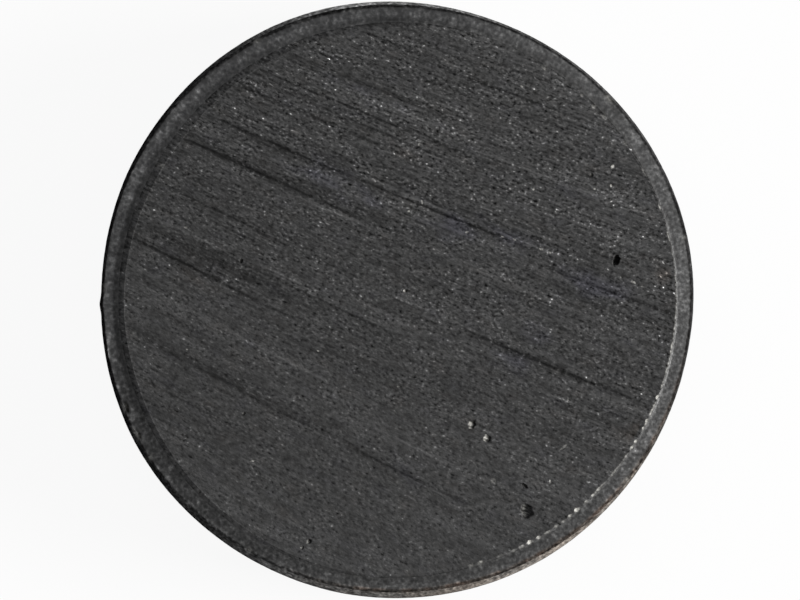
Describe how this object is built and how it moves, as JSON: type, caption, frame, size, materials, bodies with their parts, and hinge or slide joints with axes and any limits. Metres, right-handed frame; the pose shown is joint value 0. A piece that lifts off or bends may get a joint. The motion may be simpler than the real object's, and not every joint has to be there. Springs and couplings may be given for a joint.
{
  "type": "disc magnet",
  "caption": "Sintered ferrite disc magnet with flat ground pole faces, a narrow pressed rim and a slightly barrelled side wall.",
  "frame": {"origin": "centre of the disc on its lower pole face", "axes": "+Z out of the upper pole face along the disc's axis; +X to the right in the picture, +Y up in the picture, and the upper face's bevel is widest 150 degrees round from +X"},
  "size_m": [0.02, 0.02, 0.005],
  "materials": {
    "ferrite": "satin"
  },
  "bodies": {
    "root": {"ferrite_disc": "ferrite"}
  },
  "joints": []
}
